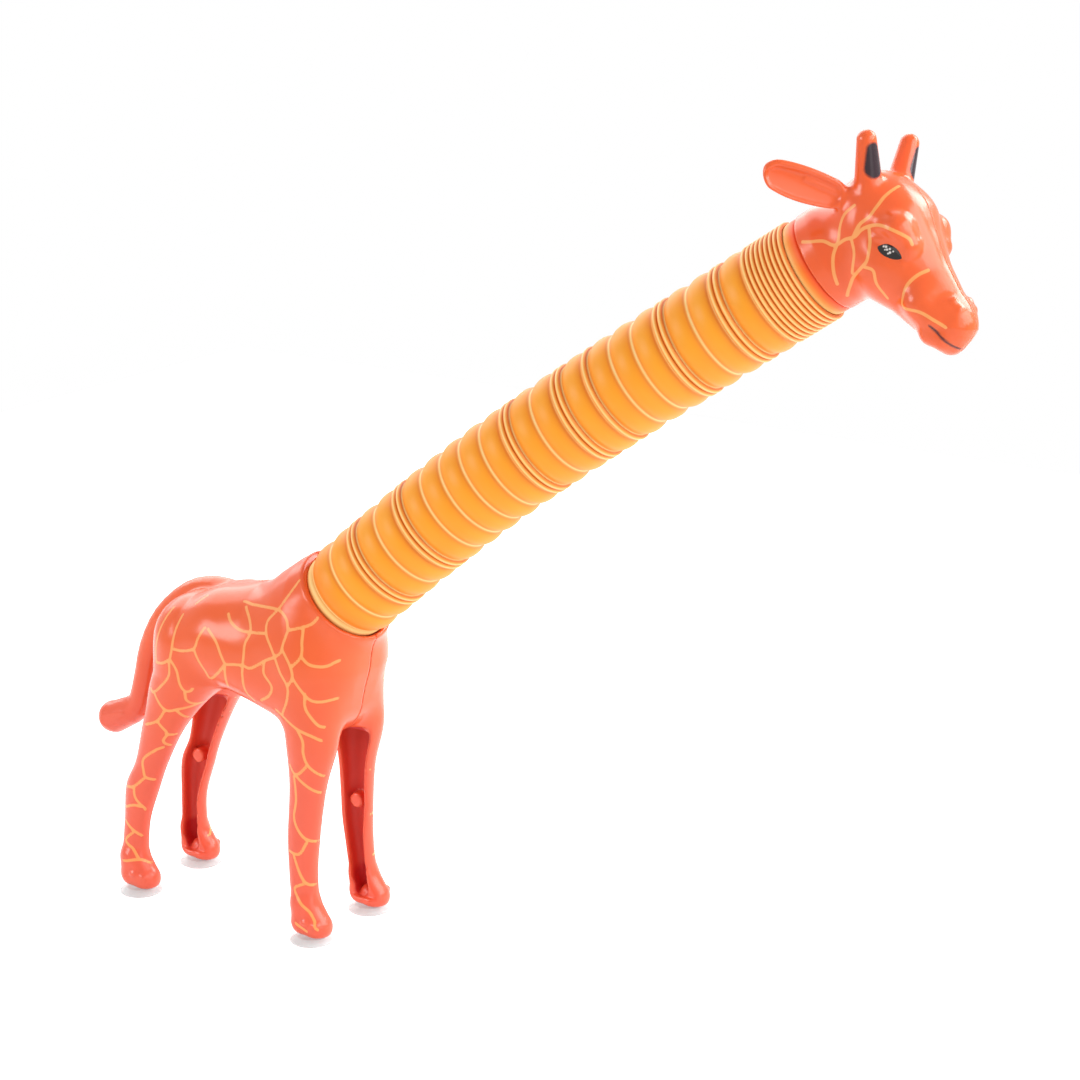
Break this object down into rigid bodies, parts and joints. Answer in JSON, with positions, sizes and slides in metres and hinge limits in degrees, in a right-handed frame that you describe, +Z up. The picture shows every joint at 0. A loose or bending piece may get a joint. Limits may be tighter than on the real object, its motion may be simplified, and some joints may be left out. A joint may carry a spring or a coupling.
{
  "type": "pop tube giraffe toy",
  "caption": "Standing giraffe fidget toy with hollow body shells on suction feet, a ribbed neck tube that pops longer, shorter and bends, and a turning head.",
  "frame": {"origin": "on the table, under the middle of the whole toy", "axes": "+X runs forward from the tail to the snout, +Y to the toy's left, +Z up"},
  "size_m": [0.2826, 0.08, 0.25],
  "materials": {
    "coral_plastic": "glossy moulded, with painted pale lines",
    "tube_orange": "satin, slightly see-through at the folds",
    "clear_vinyl": "clear soft vinyl"
  },
  "bodies": {
    "torso": {"body_right_shell": "coral_plastic", "body_left_shell": "coral_plastic", "suction_cup_front_right": "clear_vinyl", "suction_cup_front_left": "clear_vinyl", "suction_cup_rear_right": "clear_vinyl", "suction_cup_rear_left": "clear_vinyl", "neck_base_collar": "tube_orange"},
    "neck_1": {"neck_fold_1": "tube_orange", "neck_ring_1": "tube_orange"},
    "neck_2": {"neck_fold_2": "tube_orange", "neck_ring_2": "tube_orange"},
    "neck_3": {"neck_fold_3": "tube_orange", "neck_ring_3": "tube_orange"},
    "neck_4": {"neck_fold_4": "tube_orange", "neck_ring_4": "tube_orange"},
    "neck_5": {"neck_fold_5": "tube_orange", "neck_ring_5": "tube_orange"},
    "neck_6": {"neck_fold_6": "tube_orange", "neck_ring_6": "tube_orange"},
    "neck_7": {"neck_fold_7": "tube_orange", "neck_ring_7": "tube_orange"},
    "neck_8": {"neck_fold_8": "tube_orange", "neck_ring_8": "tube_orange"},
    "neck_9": {"neck_fold_9": "tube_orange", "neck_ring_9": "tube_orange"},
    "neck_10": {"neck_fold_10": "tube_orange", "neck_ring_10": "tube_orange"},
    "neck_11": {"neck_fold_11": "tube_orange", "neck_ring_11": "tube_orange"},
    "neck_12": {"neck_fold_12": "tube_orange", "neck_top_collar": "tube_orange"},
    "head": {"head_right_shell": "coral_plastic", "head_left_shell": "coral_plastic"}
  },
  "joints": [
    {"name": "neck_nod_1", "type": "hinge", "parent": "torso", "child": "neck_1", "pos_m": [-0.03837, -0.01871, 0.10827], "axis": [-0.1392, 0.9903, 0], "range_deg": [-12, 12], "deforming": ["neck_fold_1"]},
    {"name": "neck_stretch_1", "type": "slide", "parent": "neck_1", "child": "neck_2", "axis": [0.7353, 0.1363, 0.6639], "range_m": [-0.01164, 0.01164], "deforming": ["neck_fold_2"]},
    {"name": "neck_sway_1", "type": "hinge", "parent": "neck_2", "child": "neck_3", "pos_m": [-0.019, -0.01517, 0.12579], "axis": [-0.6417, -0.1364, 0.7547], "range_deg": [-12, 12], "deforming": ["neck_fold_3"]},
    {"name": "neck_stretch_2", "type": "slide", "parent": "neck_3", "child": "neck_4", "axis": [0.7515, 0.1597, 0.6401], "range_m": [-0.016, 0.01164], "deforming": ["neck_fold_4"]},
    {"name": "neck_nod_2", "type": "hinge", "parent": "neck_4", "child": "neck_5", "pos_m": [0.00654, -0.00974, 0.1475], "axis": [-0.2079, 0.9781, 0], "range_deg": [-12, 12], "deforming": ["neck_fold_5"]},
    {"name": "neck_stretch_3", "type": "slide", "parent": "neck_5", "child": "neck_6", "axis": [0.7853, 0.1669, 0.5962], "range_m": [-0.01164, 0.01164], "deforming": ["neck_fold_6"]},
    {"name": "neck_sway_2", "type": "hinge", "parent": "neck_6", "child": "neck_7", "pos_m": [0.02721, -0.00534, 0.16325], "axis": [-0.5749, -0.1222, 0.809], "range_deg": [-12, 12], "deforming": ["neck_fold_7"]},
    {"name": "neck_stretch_4", "type": "slide", "parent": "neck_7", "child": "neck_8", "axis": [0.7963, 0.1693, 0.5807], "range_m": [-0.01164, 0.01746], "deforming": ["neck_fold_8"]},
    {"name": "neck_nod_3", "type": "hinge", "parent": "neck_8", "child": "neck_9", "pos_m": [0.04962, -0.00058, 0.1796], "axis": [-0.2079, 0.9781, 0], "range_deg": [-12, 12], "deforming": ["neck_fold_9"]},
    {"name": "neck_stretch_5", "type": "slide", "parent": "neck_9", "child": "neck_10", "axis": [0.8051, 0.1711, 0.5678], "range_m": [-0.01164, 0.01164], "deforming": ["neck_fold_10"]},
    {"name": "neck_sway_3", "type": "hinge", "parent": "neck_10", "child": "neck_11", "pos_m": [0.07083, 0.00393, 0.19458], "axis": [-0.554, -0.1178, 0.8241], "range_deg": [-12, 12], "deforming": ["neck_fold_11"]},
    {"name": "neck_stretch_6", "type": "slide", "parent": "neck_11", "child": "neck_12", "axis": [0.8061, 0.1713, 0.5664], "range_m": [-0.00582, 0.06654], "deforming": ["neck_fold_12"]},
    {"name": "head_turn", "type": "hinge", "parent": "neck_12", "child": "head", "pos_m": [0.09934, 0.00999, 0.21461], "axis": [0.8061, 0.1713, 0.5664], "continuous": true}
  ]
}
